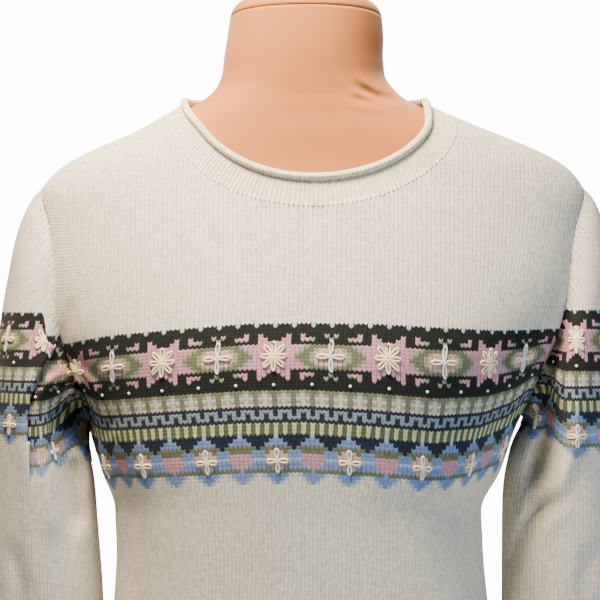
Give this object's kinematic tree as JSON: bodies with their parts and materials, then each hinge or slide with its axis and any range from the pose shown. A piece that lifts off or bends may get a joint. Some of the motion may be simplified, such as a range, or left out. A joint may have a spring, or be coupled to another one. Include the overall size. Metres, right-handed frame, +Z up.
{
  "type": "fair isle jumper on a limbless dress form",
  "caption": "Knitted crew-neck jumper with long set-in sleeves, a patterned band and a rolled neck edge, worn on a limbless torso form that stands on its flat base.",
  "frame": {"origin": "centre of the bounding box on the floor, under the dress form's flat base", "axes": "+Z up, the jumper's front faces -Y, and the wearer's left sleeve is at +X"},
  "size_m": [0.498, 0.2176, 0.7999],
  "materials": {
    "wool": "oatmeal lambswool stocking stitch with a coloured stranded band, matt and slightly fuzzy",
    "rib_wool": "the same wool knitted in rib, matt",
    "jersey": "peach jersey cover drawn over a smooth torso form, matt"
  },
  "bodies": {
    "root": {"front": "wool", "back": "wool", "sleeve_left": "wool", "sleeve_right": "wool", "forearm_left": "wool", "forearm_right": "wool", "cuff_left": "rib_wool", "cuff_right": "rib_wool", "hem_rib": "rib_wool", "neckband": "rib_wool", "neck_roll": "rib_wool", "dress_form": "jersey", "neck_cap": "jersey"}
  },
  "joints": []
}
